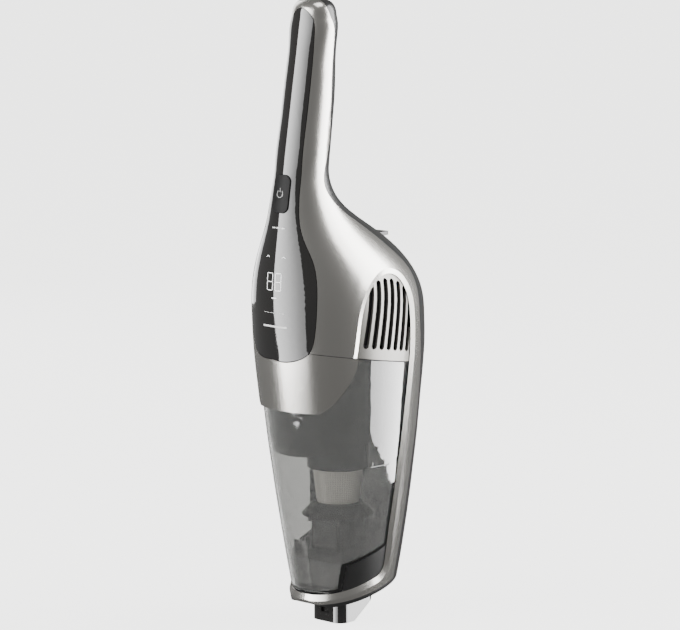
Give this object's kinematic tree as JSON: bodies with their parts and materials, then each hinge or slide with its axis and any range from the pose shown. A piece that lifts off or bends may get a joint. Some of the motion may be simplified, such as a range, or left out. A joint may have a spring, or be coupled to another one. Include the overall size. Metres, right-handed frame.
{
  "type": "handheld vacuum cleaner",
  "caption": "Upright hand unit of a cordless vacuum: slim handle, glossy front panel with display, side vents, removable clear dust cup and a suction spout.",
  "frame": {"origin": "middle of the suction spout's mouth, on the symmetry plane", "axes": "+Z from the spout up to the handle's end, the display panel faces -Y, X = 0 is the symmetry plane"},
  "size_m": [0.1088, 0.1504, 0.49],
  "materials": {
    "silver": "satin metallic lacquer on moulded plastic",
    "gloss_black": "high gloss",
    "black": "fine satin texture",
    "dark_grey": "satin",
    "vent_grey": "satin",
    "smoked_clear": "clear smoked plastic",
    "rubber": "soft seal",
    "foam": "open foam",
    "filter_white": "filter felt",
    "steel": "bright steel",
    "brass": "plated contacts",
    "copper_winding": "enamelled windings on steel",
    "board_green": "solder mask",
    "cell_blue": "shrink sleeve"
  },
  "bodies": {
    "body": {"housing_left": "silver", "housing_right": "silver", "front_panel": "gloss_black", "rear_cover": "black", "base_cover": "black", "panel_carrier": "dark_grey", "power_switch": "black", "control_board": "board_green", "display_module": "black", "display_board": "board_green", "vent_grille_left": "vent_grey", "vent_grille_right": "vent_grey", "exhaust_foam_left": "foam", "exhaust_foam_right": "foam", "chassis": "dark_grey", "intake_grille": "dark_grey", "foot_block": "dark_grey", "inlet_seal": "rubber", "nozzle": "gloss_black", "contact_block": "black", "contact_pins": "brass", "base_screws": "steel", "cover_screws": "steel", "fan_collar": "rubber", "fan_housing": "dark_grey", "motor_can": "steel", "motor_stator": "copper_winding", "motor_bearings": "steel", "motor_screws": "steel", "battery_cells": "cell_blue", "battery_holder_left": "black", "battery_holder_right": "black", "battery_links": "steel", "battery_board": "board_green", "release_spring": "steel"},
    "cup": {"dust_cup": "smoked_clear", "cup_cover": "silver", "inlet_duct": "dark_grey", "flap_pin": "steel", "filter_housing": "dark_grey", "filter_lid": "dark_grey", "lid_seal": "rubber", "pre_motor_filter": "filter_white", "mesh_screen": "steel", "cyclone_skirt": "dark_grey"},
    "inlet_flap": {"inlet_flap": "rubber"},
    "power_button": {"power_button": "gloss_black"},
    "release_slider": {"release_slider": "black"},
    "motor": {"motor_rotor": "steel", "impeller": "dark_grey"}
  },
  "joints": [
    {"name": "cup_removal", "type": "slide", "parent": "body", "child": "cup", "axis": [0, -0.9848, -0.1736], "range_m": [0, 0.14]},
    {"name": "inlet_flap_hinge", "type": "hinge", "parent": "cup", "child": "inlet_flap", "pos_m": [0, -0.0219, 0.082], "axis": [-1, 0, 0], "range_deg": [0, 60]},
    {"name": "power_button_press", "type": "slide", "parent": "body", "child": "power_button", "axis": [0, 0.9903, -0.139], "range_m": [0, 0.0012], "stiffness_N_per_m": 800, "springref_m": -0.001},
    {"name": "release_press", "type": "slide", "parent": "body", "child": "release_slider", "axis": [0, 0, -1], "range_m": [0, 0.005], "stiffness_N_per_m": 600, "springref_m": -0.002, "deforming": ["release_spring"]},
    {"name": "motor_spin", "type": "hinge", "parent": "body", "child": "motor", "pos_m": [0, -0.006, 0.24], "axis": [0, 0, 1], "continuous": true}
  ]
}
